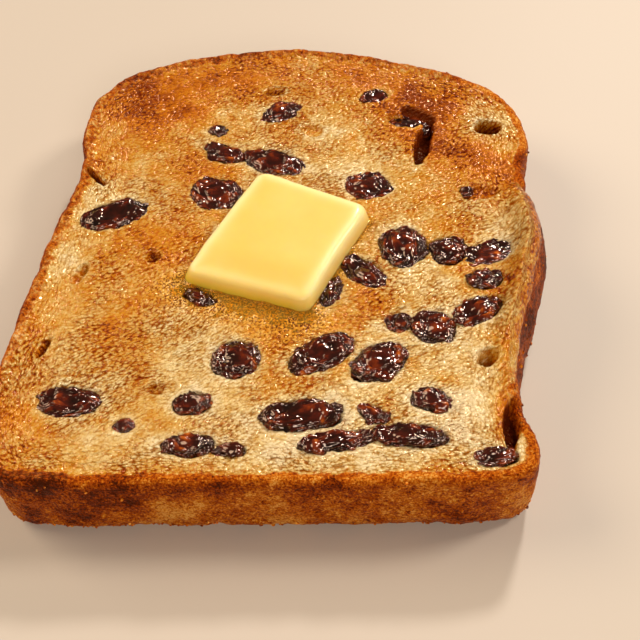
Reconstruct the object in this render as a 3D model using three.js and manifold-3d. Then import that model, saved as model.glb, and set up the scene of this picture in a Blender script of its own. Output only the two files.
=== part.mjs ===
import * as THREE from 'three';
import { mergeVertices } from 'three/addons/utils/BufferGeometryUtils.js';
import Module from 'manifold-3d';

// A slice of raisin bread, toasted, lying flat, with a pat of butter on it.
// Millimetres, +Z up. X runs across the slice and Y from the base crust to the loaf's crown.
// Places are measured from the middle of the base crust's upper rim; the last lines move the
// whole slice so that its box stands centred on the origin.

const wasm = await Module();
wasm.setup();

const clearance = 0.42; // kept between pieces that touch

const slice = {
  thickness: 18,
  sectors: 96,
  centre: [2, 58],
  sag: 0.5, // how much the middle of the crumb lies below its rim
  crumbCrag: 0.22,
  crustCrag: 0.4,
};

// Control points of the crust, anticlockwise from the left end of the base.
const crustLine = [
  [-49.6, -0.2], [-42, -1.9], [-28, -2.2], [0, -2.4], [44.6, -2.2],
  [49.9, -0.4], [51.0, 4.6], [49.4, 14],
  [50.8, 26], [55.0, 39], [58.8, 52], [58.6, 64],
  [55.8, 76], [58.2, 87], [54, 101.5],
  [35, 113], [3, 120.8], [-27.5, 116.8],
  [-42, 107], [-45.4, 90],
  [-44, 81], [-47.8, 62], [-52.2, 34], [-54.6, 9],
];

// The crust bends up and leans in along the right side, where the slice has curled as it dried.
const curl = {
  firstY: 8,
  lastY: 73,
  rise: 6,
  lean: 3.6, // how far the crest moves in from the crust line
  leanPower: 0.3, // below 1 the lean runs on further than the rise
  reach: 2.8, // how far in from the crest the steep part fades
  wideShare: 0.14, // share of the rise that fades slowly
  wideReach: 14,
  skew: 1.8, // above 1 brings the highest place nearer to the shoulder
  underRise: 0.35, // share of the rise that the underside follows
};

const rimInset = 1.6; // where the crust's rounded rim meets the crumb

// Rings of the slice's skin: inset from the crust line, share of the curl's lean, share of
// the way out from the centre, height, and which surface shapes it.
const skinRings = [
  { out: 0.5, inset: 2.6, lean: 0, height: 0, face: 'under' },
  { out: 1, inset: 2.6, lean: 0, height: 0, face: 'under' },
  { out: 1, inset: 0.8, lean: 0, height: 0.9, face: 'side' },
  { out: 1, inset: 0.0, lean: 0, height: 4, face: 'side' },
  { out: 1, inset: -0.3, lean: 0.08, height: 9, face: 'side' },
  { out: 1, inset: 0.0, lean: 0.4, height: 14, face: 'side' },
  { out: 1, inset: 0.5, lean: 0.72, height: 16.9, face: 'side' },
  { out: 1, inset: rimInset, lean: 1, height: 18, face: 'top' },
  { out: 0.97, inset: rimInset, lean: 1, height: 18, face: 'top' },
  { out: 0.935, inset: rimInset, lean: 1, height: 18, face: 'top' },
  { out: 0.86, inset: rimInset, lean: 1, height: 18, face: 'top' },
  { out: 0.74, inset: rimInset, lean: 1, height: 18, face: 'top' },
  { out: 0.6, inset: rimInset, lean: 1, height: 18, face: 'top' },
  { out: 0.46, inset: rimInset, lean: 1, height: 18, face: 'top' },
  { out: 0.3, inset: rimInset, lean: 1, height: 18, face: 'top' },
  { out: 0.14, inset: rimInset, lean: 1, height: 18, face: 'top' },
];

const butter = {
  corners: [[-18.7, 46.2], [7.7, 37.1], [21.4, 63.1], [-2.9, 75.0]], // anticlockwise
  cornerCut: 3.0, // how far from each corner its round begins
  thickness: 4.6,
  sectors: 44,
  flatReach: 16, // the crumb is smooth out to here under the pat, then crags over fadeReach
  fadeReach: 8,
};

const butterRings = [
  { out: 1, inset: -0.2, height: 0 },
  { out: 1, inset: -0.4, height: 0.5 },
  { out: 1, inset: -0.1, height: 1.9 },
  { out: 1, inset: 0.1, height: 3.1 },
  { out: 1, inset: 0.6, height: 4.0 },
  { out: 1, inset: 1.6, height: 4.5 },
  { out: 0.6, inset: 1.6, height: butter.thickness },
];

// Raisins: x, y, length and width at the crumb's face, turn in degrees, and how proud of the
// crumb they stand.
const raisinRows = [
  [0.8, 97.8, 9.6, 5.4, 31, 0.5],
  [23.6, 103.1, 8.5, 5.2, 15, 0.1],
  [-11.4, 84.6, 9.6, 4.6, -26, 0.4],
  [-0.6, 81.2, 13.4, 7.8, -21, 0.6],
  [-13.9, 92.5, 4.6, 2.8, -6, 0.1],
  [-12.9, 71.7, 12.4, 9.6, -24, 0.9],
  [-35.2, 65.8, 13.6, 8.2, 21, 0.6],
  [20.8, 73.0, 10.8, 8.4, -9, 0.6],
  [28.0, 54.6, 12.2, 9.4, 96, 1.0],
  [37.6, 53.4, 7.6, 7.2, 40, 0.6],
  [46.4, 52.2, 11.6, 6.8, 25, 0.4],
  [19.2, 47.8, 11.3, 6.0, -41, 0.7],
  [12.7, 43.1, 7.8, 3.6, -112, 0.3],
  [44.6, 44.4, 7.2, 5.2, 7, 0.5],
  [42.2, 36.4, 11.2, 6.8, 19, 0.9],
  [33.2, 32.8, 9.6, 7.6, -20, 1.0],
  [26.2, 34.2, 5.2, 4.4, 24, 0.5],
  [22.2, 25.0, 11.6, 8.8, 30, 1.0],
  [10.6, 27.0, 13.2, 7.2, 28, 0.9],
  [-6.6, 26.2, 9.0, 8.2, -1, 0.7],
  [-14.8, 42.0, 6.6, 3.2, -28, 0.3],
  [-38.4, 16.4, 12.2, 7.0, -3, 0.7],
  [-14.5, 15.4, 7.1, 5.2, 6, 0.5],
  [-27.0, 10.6, 3.8, 2.6, -4, 0.2],
  [-14.6, 6.2, 9.4, 3.9, 5, 0.4],
  [-6.6, 4.9, 4.8, 2.5, -4, 0.3],
  [31.5, 15.6, 7.4, 5.4, -12, 0.6],
  [6.4, 12.2, 17.0, 6.2, 5, 0.9],
  [13.0, 6.4, 14.6, 4.2, 9, 0.7],
  [27.0, 7.4, 14.0, 4.6, -4, 0.8],
  [20.4, 12.4, 6.4, 3.4, -30, 0.5],
  [42.7, 2.6, 7.4, 3.6, 6, 0.2],
  [42.2, 70.7, 3.0, 2.6, -15, 0.0],
  [30.2, 94.2, 10.4, 5.6, -20, -0.6],
];

const raisin = {
  thickShare: 0.62, // thickness as a share of the width
  thinnest: 2.4,
  thickest: 4.6,
  fineLength: 12.3, // longer raisins get the finer mesh
  lumpDepth: 0.1,
  plumpness: 3, // 2 is an egg's side; above it the side is fuller and the top flatter
  leastShown: 0.85, // no raisin is widened below the crumb's face by more than this share
};

// Air holes and a crack: x, y, length, width, turn in degrees, depth.
const holeRows = [
  [43.1, 24.8, 4.0, 4.2, 0, 3.4],
  [49.4, 91.1, 5.8, 4.6, -6, 3.2],
  [34.1, 86.4, 14.6, 3.0, -105, 4.2],
  [44.3, 7.6, 10.0, 1.8, -84, 2.2],
  [45.4, 69.9, 8.6, 4.4, 0, 1.2],
  [-25.3, 53.3, 2.8, 3.0, 0, 1.6],
  [-45.2, 29.6, 5.2, 1.6, 70, 1.8],
  [-40.3, 48.8, 6.2, 1.8, 68, 1.6],
];

const colours = { crust: 0xb9752e, butter: 0xf6dc7c, raisin: 0x35150d };

// Three sine waves that never line up make a repeatable unevenness between -1 and 1.
function unevenness(x, y, z) {
  const first = Math.sin(0.61 * x + 0.23 * y + 0.4 * z + 1.3);
  const second = Math.sin(-0.34 * x + 0.57 * y - 0.7 * z + 4.1);
  const third = Math.sin(1.13 * x - 0.91 * y + 1.1 * z + 2.2);
  return (first + second + third) / 3;
}

// Evenly spaced stations round a closed line, each with its inward direction.
function stationsAlong(curve, count) {
  const points = curve.getSpacedPoints(count).slice(0, count);
  return points.map((point, i) => {
    const before = points[(i + count - 1) % count];
    const after = points[(i + 1) % count];
    const along = new THREE.Vector2(after.x - before.x, after.y - before.y).normalize();
    return { x: point.x, y: point.y, inX: -along.y, inY: along.x };
  });
}

// A closed skin lofted through rings. A lathe of one side per station gives the triangles,
// and each vertex is then placed by its station and its ring.
function loftedSkin(stations, rings, centre, insetAt, heightAt) {
  const last = rings.length + 1;
  const ladder = Array.from({ length: last + 1 }, (_, i) => {
    const onAxis = i === 0 || i === last;
    return new THREE.Vector2(onAxis ? 0 : 1, i);
  });
  const lathe = new THREE.LatheGeometry(ladder, stations.length, 0, Math.PI * 2);
  const position = lathe.getAttribute('position');
  for (let i = 0; i < position.count; i += 1) {
    const level = i % (last + 1);
    const station = stations[Math.floor(i / (last + 1)) % stations.length];
    const ring = rings[Math.min(Math.max(level - 1, 0), rings.length - 1)];
    const out = level === 0 || level === last ? 0 : ring.out;
    const inset = insetAt(ring, station);
    const x = centre[0] + (station.x + station.inX * inset - centre[0]) * out;
    const y = centre[1] + (station.y + station.inY * inset - centre[1]) * out;
    const moved = heightAt(x, y, ring, station);
    position.setXYZ(i, moved.x, moved.y, moved.z);
  }
  return solidFrom(lathe);
}

// Merges shared vertices, drops the flat triangles at the poles and returns a solid.
function solidFrom(geometry) {
  geometry.deleteAttribute('normal');
  geometry.deleteAttribute('uv');
  const merged = mergeVertices(geometry, 1e-4);
  const index = merged.getIndex().array;
  const kept = [];
  for (let i = 0; i < index.length; i += 3) {
    const [a, b, c] = [index[i], index[i + 1], index[i + 2]];
    if (a !== b && b !== c && c !== a) kept.push(a, b, c);
  }
  const vertProperties = new Float32Array(merged.getAttribute('position').array);
  const solid = new wasm.Manifold(
    new wasm.Mesh({ numProp: 3, vertProperties, triVerts: new Uint32Array(kept) })
  );
  return solid;
}

function geometryFrom(solid) {
  const mesh = solid.getMesh();
  const geometry = new THREE.BufferGeometry();
  const corners = new Float32Array(mesh.vertProperties);
  geometry.setAttribute('position', new THREE.BufferAttribute(corners, 3));
  geometry.setIndex(new THREE.BufferAttribute(new Uint32Array(mesh.triVerts), 1));
  geometry.computeVertexNormals();
  return geometry;
}

const crustCurve = new THREE.CatmullRomCurve3(
  crustLine.map(([x, y]) => new THREE.Vector3(x, y, 0)), true, 'centripetal'
);
const crustStations = stationsAlong(crustCurve, slice.sectors);

function distanceToCrust(x, y) {
  return Math.min(...crustStations.map((s) => Math.hypot(s.x - x, s.y - y)));
}

// How strongly the right side has curled at a place, from 0 to 1 along the crust.
function curlShare(x, y) {
  if (x < slice.centre[0] || y <= curl.firstY || y >= curl.lastY) return 0;
  const along = (y - curl.firstY) / (curl.lastY - curl.firstY);
  return Math.sin(Math.PI * along ** curl.skew);
}

function leanAt(x, y) {
  return curl.lean * curlShare(x, y) ** curl.leanPower;
}

function leaningInset(ring, station) {
  return ring.inset + ring.lean * leanAt(station.x, station.y);
}

// How far the curled side has risen at a place: fully out to the crest, then fading inwards.
function curlAt(x, y) {
  const share = curlShare(x, y);
  if (share === 0) return 0;
  const inset = Math.max(0, distanceToCrust(x, y) - rimInset - leanAt(x, y));
  const steep = (1 - curl.wideShare) * Math.exp(-((inset / curl.reach) ** 2));
  const wide = curl.wideShare * Math.exp(-((inset / curl.wideReach) ** 2));
  return curl.rise * share * (steep + wide);
}

const butterMiddle = [0, 1].map(
  (axis) => butter.corners.reduce((sum, corner) => sum + corner[axis], 0) / butter.corners.length
);

// Height of the crumb's face: a slight sag in the middle, the curl, and low crags.
function crumbAt(x, y) {
  const inside = 1 - Math.exp(-distanceToCrust(x, y) / 14);
  const fromButter = Math.hypot(x - butterMiddle[0], y - butterMiddle[1]) - butter.flatReach;
  const rough = THREE.MathUtils.clamp(fromButter / butter.fadeReach, 0, 1);
  const crag = slice.crumbCrag * unevenness(x, y, 0) * rough;
  return slice.thickness - slice.sag * inside + curlAt(x, y) + crag;
}

function placeOnSlice(x, y, ring, station) {
  if (ring.face === 'under') {
    return new THREE.Vector3(x, y, ring.height + curl.underRise * curlAt(x, y));
  }
  if (ring.face === 'top') return new THREE.Vector3(x, y, crumbAt(x, y));
  const share = ring.height / slice.thickness;
  const rise = curlAt(x, y) * (curl.underRise + (1 - curl.underRise) * share);
  const crag = slice.crustCrag * unevenness(x, y, ring.height);
  return new THREE.Vector3(x - station.inX * crag, y - station.inY * crag, ring.height + rise);
}

// The line through the pat's corners, rounded off from cut before each corner to cut after it.
function roundedOutline(corners, cut) {
  const points = corners.map(([x, y]) => new THREE.Vector2(x, y));
  const shape = new THREE.Shape();
  points.forEach((corner, i) => {
    const before = points[(i + points.length - 1) % points.length];
    const after = points[(i + 1) % points.length];
    const enter = corner.clone().lerp(before, cut / corner.distanceTo(before));
    const leave = corner.clone().lerp(after, cut / corner.distanceTo(after));
    if (i === 0) shape.moveTo(enter.x, enter.y);
    else shape.lineTo(enter.x, enter.y);
    shape.quadraticCurveTo(corner.x, corner.y, leave.x, leave.y);
  });
  shape.closePath();
  return shape;
}

function butterPat() {
  const stations = stationsAlong(roundedOutline(butter.corners, butter.cornerCut), butter.sectors);
  const base = slice.thickness - slice.sag + clearance;
  const place = (x, y, ring) => new THREE.Vector3(x, y, base + ring.height);
  return loftedSkin(stations, butterRings, butterMiddle, (ring) => ring.inset, place);
}

// Half the width of a round form at a height from -1 to 1.
function sideAt(height, power) {
  return Math.max(0, 1 - Math.abs(height) ** power) ** (1 / power);
}

// A lumpy dried grape. grow makes the same shape larger all round, for its pocket.
function raisinLump(row, order, grow) {
  const [x, y, length, width, turn, proud] = row;
  const thickness = THREE.MathUtils.clamp(
    width * raisin.thickShare, raisin.thinnest, raisin.thickest
  );
  const geometry = new THREE.IcosahedronGeometry(1, length > raisin.fineLength ? 2 : 1);
  const position = geometry.getAttribute('position');
  const corner = new THREE.Vector3();
  for (let i = 0; i < position.count; i += 1) {
    corner.fromBufferAttribute(position, i);
    const lump = Math.sin(3.1 * corner.x + 1.7 * order)
      + Math.sin(3.7 * corner.y + 2.3 * order)
      + Math.sin(2.9 * corner.z + 0.9 * order + 2.0 * corner.x);
    const widened = sideAt(corner.z, raisin.plumpness) / Math.max(sideAt(corner.z, 2), 0.01);
    corner.set(corner.x * widened, corner.y * widened, corner.z);
    corner.multiplyScalar(1 + (raisin.lumpDepth * lump) / 3);
    position.setXYZ(i, corner.x, corner.y, corner.z);
  }
  const shown = Math.max(
    raisin.leastShown, sideAt(1 - (2 * proud) / thickness, raisin.plumpness)
  );
  geometry.scale(
    length / 2 / shown + grow, width / 2 / shown + grow, thickness / 2 + grow
  );
  geometry.rotateZ(THREE.MathUtils.degToRad(turn));
  geometry.translate(x, y, crumbAt(x, y) + proud - thickness / 2);
  return solidFrom(geometry);
}

// A hollow in the crumb, cut by a smooth lump whose middle lies on the surface.
function airHole([x, y, length, width, turn, depth]) {
  const geometry = new THREE.IcosahedronGeometry(1, 1);
  geometry.scale(length / 2, width / 2, depth);
  geometry.rotateZ(THREE.MathUtils.degToRad(turn));
  geometry.translate(x, y, crumbAt(x, y));
  return solidFrom(geometry);
}

const loaf = loftedSkin(crustStations, skinRings, slice.centre, leaningInset, placeOnSlice);

const pockets = raisinRows.map((row, order) => raisinLump(row, order, clearance));

// A raisin that presses against an earlier one is flattened where they meet.
const raisins = raisinRows.map((row, order) =>
  pockets.slice(0, order).reduce(
    (lump, pocket) => lump.subtract(pocket), raisinLump(row, order, 0)
  )
);

const cutSlice = [...pockets, ...holeRows.map(airHole)].reduce(
  (body, cutter) => body.subtract(cutter), loaf
);

const settledButter = pockets.reduce(
  (body, pocket) => body.subtract(pocket), butterPat()
);

function namedMesh(name, solid, colour, roughness) {
  const material = new THREE.MeshStandardMaterial({ color: colour, roughness, metalness: 0 });
  const mesh = new THREE.Mesh(geometryFrom(solid), material);
  mesh.name = name;
  return mesh;
}

const toast = new THREE.Group();
toast.add(namedMesh('toast_slice', cutSlice, colours.crust, 0.85));
toast.add(namedMesh('butter_pat', settledButter, colours.butter, 0.35));
raisins.forEach((solid, order) => {
  const number = String(order + 1).padStart(2, '0');
  toast.add(namedMesh(`raisin_${number}`, solid, colours.raisin, 0.3));
});

// The origin is the middle of the slice's box, on the surface it lies on.
const box = new THREE.Box3().setFromObject(toast);
const middle = box.getCenter(new THREE.Vector3());
toast.position.set(-middle.x, -middle.y, -box.min.z);

export default toast;
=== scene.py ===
import math
import bmesh
import bpy
import numpy as np
from mathutils import Matrix, Vector
from mathutils.bvhtree import BVHTree
from mathutils.kdtree import KDTree


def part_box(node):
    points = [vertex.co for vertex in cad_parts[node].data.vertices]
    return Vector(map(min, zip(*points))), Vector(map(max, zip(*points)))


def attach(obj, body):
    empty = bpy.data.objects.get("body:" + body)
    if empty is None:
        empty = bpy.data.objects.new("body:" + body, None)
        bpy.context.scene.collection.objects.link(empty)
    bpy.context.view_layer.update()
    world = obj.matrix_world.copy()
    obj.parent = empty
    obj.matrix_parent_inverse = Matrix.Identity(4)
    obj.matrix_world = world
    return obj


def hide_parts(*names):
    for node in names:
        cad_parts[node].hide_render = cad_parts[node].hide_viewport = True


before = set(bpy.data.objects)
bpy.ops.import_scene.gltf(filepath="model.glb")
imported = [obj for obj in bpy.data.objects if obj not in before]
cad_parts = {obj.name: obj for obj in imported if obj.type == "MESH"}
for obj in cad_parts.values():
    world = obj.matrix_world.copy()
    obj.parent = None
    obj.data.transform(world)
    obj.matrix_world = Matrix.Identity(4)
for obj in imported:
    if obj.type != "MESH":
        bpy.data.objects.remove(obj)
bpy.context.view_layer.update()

mm = 0.001  # everything below is written in millimetres and turned into metres with this
hashPrimes = np.array([73856093, 19349663, 83492791])


def stage(message):
    print("toast:", message)


def rgb(hexText):  # "#c98a3a" as the linear colour that sockets take
    parts = [int(hexText[i:i + 2], 16) / 255 for i in (1, 3, 5)]
    linear = [p / 12.92 if p <= 0.04045 else ((p + 0.055) / 1.055) ** 2.4 for p in parts]
    return (*linear, 1.0)


def smoothStep(low, high, value):
    t = np.clip((value - low) / (high - low), 0, 1)
    return t * t * (3 - 2 * t)


def bell(distance, reach=1.0, power=2):  # 1 at the middle, falling off over the reach
    return np.exp(-(distance / reach) ** power)


def latticeNoise(points, size, seed):  # smooth repeatable noise between -1 and 1
    p = points / size
    cell = np.floor(p).astype(np.int64)
    f = p - cell
    w = f * f * (3 - 2 * f)
    total = np.zeros(len(p))
    for corner in range(8):
        step = np.array([corner & 1, (corner >> 1) & 1, corner >> 2])
        h = np.bitwise_xor.reduce((cell + step) * hashPrimes, axis=1) ^ (seed * 668265263)
        h = ((h ^ (h >> 13)) * 1274126177) & 0xffffffff
        h = ((h ^ (h >> 16)) * 2246822519) & 0xffffffff
        total += (h / 0xffffffff * 2 - 1) * np.prod(np.where(step == 1, w, 1 - w), axis=1)
    return total


def flatNoise(x, y, size, seed):
    return latticeNoise(np.stack([x, y, np.zeros_like(x)], 1), size, seed)


def addObject(name, data):
    piece = bpy.data.objects.new(name, data)
    bpy.context.scene.collection.objects.link(piece)
    return piece


def meshObject(name, points, faces, material):
    mesh = bpy.data.meshes.new(name)
    mesh.from_pydata(np.asarray(points).tolist(), [], faces, shade_flat=False)
    mesh.update()
    mesh.materials.append(material)
    return addObject(name, mesh)


def writeValues(piece, name, values, kind="FLOAT"):  # one value for each vertex
    layer = piece.data.attributes.new(name, kind, "POINT")
    layer.data.foreach_set("value" if kind == "FLOAT" else "vector", np.ravel(values).astype(np.float32))


def readValues(items, name, width=1):
    values = np.empty(len(items) * width, np.float32)
    items.foreach_get(name, values)
    return values


class Field:
    # one output of a node: sums written with it become math nodes
    def __init__(self, tree, socket):
        self.tree = tree
        self.socket = socket

    def output(self, key):  # another output of the same node
        return Field(self.tree, self.socket.node.outputs[key])

    def calc(self, operation, *values):
        return addNode(self, "ShaderNodeMath", dict(enumerate(values)), {"operation": operation})

    def __abs__(self):
        return self.calc("ABSOLUTE", self)


for sign, operation in (("add", "ADD"), ("sub", "SUBTRACT"), ("mul", "MULTIPLY"), ("truediv", "DIVIDE")):
    setattr(Field, f"__{sign}__", lambda a, b, operation=operation: a.calc(operation, a, b))
    setattr(Field, f"__r{sign}__", lambda a, b, operation=operation: a.calc(operation, b, a))


def fill(node, inputs):  # fields are linked to the sockets, anything else is set on them
    for name, value in inputs.items():
        if isinstance(value, Field):
            value.tree.links.new(value.socket, node.inputs[name])
        else:
            isColour = isinstance(value, str) and value.startswith("#")
            node.inputs[name].default_value = rgb(value) if isColour else value


def addNode(near, kind, inputs=None, settings=None):
    # adds a node to a tree, or to the tree of a field, and gives its first output
    tree = near.tree if isinstance(near, Field) else near
    node = tree.nodes.new(kind)
    for name, value in (settings or {}).items():
        setattr(node, name, value)
    fill(node, inputs or {})
    return Field(tree, node.outputs[0])


def mapRange(value, low, high, toLow=0.0, toHigh=1.0, smooth=False):
    settings = {"interpolation_type": "SMOOTHSTEP" if smooth else "LINEAR"}
    inputs = dict(enumerate((value, low, high, toLow, toHigh)))
    return addNode(value, "ShaderNodeMapRange", inputs, settings)


def blend(factor, first, second):
    return addNode(factor, "ShaderNodeMix", {0: factor, 2: first, 3: second})


def mixColour(factor, first, second, kind="MIX"):
    settings = {"data_type": "RGBA", "blend_type": kind}
    return addNode(factor, "ShaderNodeMix", {0: factor, 6: first, 7: second}, settings).output(2)


def colourRamp(factor, stops):
    ramped = addNode(factor, "ShaderNodeValToRGB", {0: factor})
    elements = ramped.socket.node.color_ramp.elements
    elements.remove(elements[-1])
    elements[0].position = stops[0][0]
    elements[0].color = rgb(stops[0][1])
    for spot, hexText in stops[1:]:
        elements.new(spot).color = rgb(hexText)
    return ramped


def noise(vector, scale, detail=1.0, roughness=0.5):
    inputs = {"Vector": vector, "Scale": scale, "Detail": detail, "Roughness": roughness}
    return addNode(vector, "ShaderNodeTexNoise", inputs)


def vectorMath(vector, operation, inputs):
    return addNode(vector, "ShaderNodeVectorMath", {0: vector, **inputs}, {"operation": operation})


def scaled(vector, factor):
    return vectorMath(vector, "SCALE", {"Scale": factor})


def warped(vector, squeeze, scale, amount):  # squeezed along x, then bent by noise
    squeezed = vectorMath(vector, "MULTIPLY", {1: (squeeze, 1.0, 1.0)})
    bend = noise(vector, scale).output("Color")
    return vectorMath(bend, "MULTIPLY_ADD", {1: (amount,) * 3, 2: squeezed})


def partsOf(vector):
    x = addNode(vector, "ShaderNodeSeparateXYZ", {0: vector})
    return x, x.output(1), x.output(2)


def joined(*parts):
    return addNode(parts[0], "ShaderNodeCombineXYZ", dict(enumerate(parts)))


def namedValue(tree, name, kind="FLOAT"):  # what writeValues or storedAs left on the mesh
    if tree.type == "SHADER":
        read = addNode(tree, "ShaderNodeAttribute", settings={"attribute_name": name})
        return read.output("Fac" if kind == "FLOAT" else "Vector")
    return addNode(tree, "GeometryNodeInputNamedAttribute", {"Name": name}, {"data_type": kind})


def newMaterial(name):
    material = bpy.data.materials.new(name)
    material.use_nodes = True
    tree = material.node_tree
    return material, tree, tree.nodes["Principled BSDF"]


def objectPlaceMm(tree):  # the surface point in millimetres
    return scaled(addNode(tree, "ShaderNodeTexCoord").output("Object"), 1 / mm)


def bumped(height, distance, strength=1.0):
    inputs = {"Strength": strength, "Distance": distance * mm, "Height": height}
    return addNode(height, "ShaderNodeBump", inputs)


def newGeometryTree(name, sizes):  # gives the incoming geometry and the named sizes
    tree = bpy.data.node_groups.new(name, "GeometryNodeTree")
    for way in ("INPUT", "OUTPUT"):
        tree.interface.new_socket("Geometry", in_out=way, socket_type="NodeSocketGeometry")
    for label in sizes:
        tree.interface.new_socket(label, in_out="INPUT", socket_type="NodeSocketFloat")
    given = tree.nodes.new("NodeGroupInput")
    return Field(tree, given.outputs[0]), {label: Field(tree, given.outputs[label]) for label in sizes}


def movedOut(geometry, amount):  # along its normals
    offset = scaled(addNode(geometry, "GeometryNodeInputNormal"), amount)
    return addNode(geometry, "GeometryNodeSetPosition", {"Geometry": geometry, "Offset": offset})


def keptAboveFloor(geometry):
    x, y, z = partsOf(addNode(geometry, "GeometryNodeInputPosition"))
    lifted = joined(x, y, z.calc("MAXIMUM", z, 0.0))
    return addNode(geometry, "GeometryNodeSetPosition", {"Geometry": geometry, "Position": lifted})


def storedAs(geometry, name, value):
    inputs = {"Geometry": geometry, "Name": name, "Value": value}
    return addNode(geometry, "GeometryNodeStoreNamedAttribute", inputs)


def finishTree(geometry, material):
    tree = geometry.tree
    real = addNode(tree, "GeometryNodeRealizeInstances", {0: geometry})
    dressed = addNode(tree, "GeometryNodeSetMaterial", {"Geometry": real, "Material": material})
    fill(tree.nodes.new("NodeGroupOutput"), {0: dressed})
    return tree


def bakeTree(piece, tree, values):
    # runs the tree on the piece once and keeps the plain mesh that comes out
    modifier = piece.modifiers.new(tree.name, "NODES")
    modifier.node_group = tree
    for item in tree.interface.items_tree:
        if item.in_out == "INPUT" and item.name in values:
            modifier[item.identifier] = values[item.name]
    bpy.context.view_layer.update()
    evaluated = piece.evaluated_get(bpy.context.evaluated_depsgraph_get())
    mesh = bpy.data.meshes.new_from_object(evaluated)
    mesh.name = piece.name
    piece.modifiers.clear()
    old = piece.data
    piece.data = mesh
    bpy.data.meshes.remove(old)


def place(piece, nodes):
    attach(piece, "root")
    if nodes:
        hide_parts(*nodes)
    stage(f"{piece.name}: {len(piece.data.polygons)} faces")


# the slice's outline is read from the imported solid

bread = {
    "thickness": 18.0,
    "sag": 0.5,  # how far the middle of the crumb lies below its rim
    "acrossCells": 236,  # both cell counts divide by four
    "alongCells": 264,
    "wallLayers": 25,
    "lipRise": 0.35,  # the crust stands a little proud of the crumb it surrounds
    "lipWidth": 0.9,
    "lipLumps": 0.7,  # lumps in the wider lip along the left side and the crown
    "footTear": 0.5,  # how ragged the crust's lower edge is
    "crustBand": 1.5,  # how far the crust's colour reaches in over the rim
    "undulation": 0.32,
    "undulationSize": 13.0,
    "dents": 0.16,
    "dentSize": 5.0,
    "grooveDepth": 0.22,  # a shallow groove just inside the rim
    "grooveAt": 2.4,
    "grooveWidth": 1.3,
    "grainSlant": 30,  # degrees, of the stretched crumb in the middle
    "seed": 11,
}

curl = {  # the dried right side bends up and leans in, as in the solid
    "firstY": -50.87, "lastY": 14.13, "rise": 6.0, "lean": 3.6, "leanPower": 0.3, "reach": 2.8,
    "wideShare": 0.14, "wideReach": 14.0, "skew": 1.8, "underRise": 0.35, "browned": 0.12,
}

corners = {  # where the crust line turns: heels at the base, shoulders at the crown
    "leftHeel": (-53.0, -58.2), "rightHeel": (48.2, -58.9),
    "rightShoulder": (52.9, 41.5), "leftShoulder": (-44.1, 47.0),
}

# from rim to foot: height above the underside, inset from the widest line, share of the curl's lean
wallProfile = np.array([
    (18.0, 1.35, 1.0), (17.75, 0.75, 0.95), (17.2, 0.32, 0.82), (16.0, 0.08, 0.62), (13.0, 0.0, 0.33),
    (9.0, -0.1, 0.08), (5.0, 0.05, 0.0), (2.6, 0.3, 0.0), (1.2, 0.75, 0.0), (0.4, 1.45, 0.0), (0.0, 2.5, 0.0),
])


def solidTree(nodeName):
    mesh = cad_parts[nodeName].data
    return BVHTree.FromPolygons([v.co for v in mesh.vertices], [p.vertices[:] for p in mesh.polygons])


def readCrustLine(count=1440, width=11):
    # level rays towards the middle find the crust half way up the slice
    tree = solidTree("toast_slice")
    height = bread["thickness"] / 2 * mm
    line = np.empty((count, 2))
    for i in range(count):
        angle = 2 * math.pi * i / count
        way = Vector((math.cos(angle), math.sin(angle), 0))
        hit = tree.ray_cast(Vector((0, 0, height)) + way * 0.2, -way)[0]
        line[i] = hit.x / mm, hit.y / mm
    kernel = np.hanning(width + 2)[1:-1]  # rounds off the solid's facets
    kernel /= kernel.sum()
    wrapped = np.concatenate([line[-width:], line, line[:width]])
    smooth = np.stack([np.convolve(wrapped[:, k], kernel, "same") for k in (0, 1)], 1)
    return smooth[width:-width]


def runLength(points):
    return np.concatenate([[0], np.cumsum(np.linalg.norm(np.diff(points, axis=0), axis=1))])


def evenly(points, count, closed=False):
    if closed:
        points = np.concatenate([points, points[:1]])
    run = runLength(points)
    stops = np.linspace(0, run[-1], count + 1)
    if closed:
        stops = stops[:-1]
    return np.stack([np.interp(stops, run, column) for column in points.T], 1)


crustLine = evenly(readCrustLine(), 2400, closed=True)
crustTree = KDTree(len(crustLine))
for order, (x, y) in enumerate(crustLine):
    crustTree.insert((x, y, 0), order)
crustTree.balance()
stage("read the crust line from the solid")


def fromCrust(x, y):
    return np.array([crustTree.find((a, b, 0))[2] for a, b in zip(x, y)])


def curlShare(x, y):
    along = np.clip((y - curl["firstY"]) / (curl["lastY"] - curl["firstY"]), 0, 1)
    return np.abs(np.sin(np.pi * along ** curl["skew"])) * (x > 0)


def curlLean(x, y):
    return curl["lean"] * curlShare(x, y) ** curl["leanPower"]


def pastRim(x, y, inset):  # how far a place on the face lies inside the rim
    return inset - wallProfile[0, 1] - curlLean(x, y)


def curlRise(x, y, inset):
    inward = np.maximum(0, pastRim(x, y, inset))
    steep = (1 - curl["wideShare"]) * bell(inward, curl["reach"])
    wide = curl["wideShare"] * bell(inward, curl["wideReach"])
    return curl["rise"] * curlShare(x, y) * (steep + wide)


# the raisins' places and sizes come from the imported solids

def raisinFacts(name):
    co = np.array([v.co[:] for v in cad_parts[name].data.vertices]) / mm
    low, high = co.min(0), co.max(0)
    centre = (low + high) / 2
    flat = co[:, :2] - centre[:2]
    axes = np.linalg.eigh(flat.T @ flat)[1]
    long = axes[:, 1] if axes[0, 1] >= 0 else -axes[:, 1]
    across = np.array([-long[1], long[0]])
    size = np.array([np.ptp(flat @ long), np.ptp(flat @ across), high[2] - low[2]])
    return {"name": name, "centre": centre, "long": long, "across": across, "size": size}


raisinList = [raisinFacts(name) for name in sorted(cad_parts) if name.startswith("raisin_")]


def sideAt(height, power=3.0):  # half the width of a raisin at a height from -1 to 1
    return np.maximum(0, 1 - np.abs(height) ** power) ** (1 / power)


# the butter pat's outline, needed by the crumb round it

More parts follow.
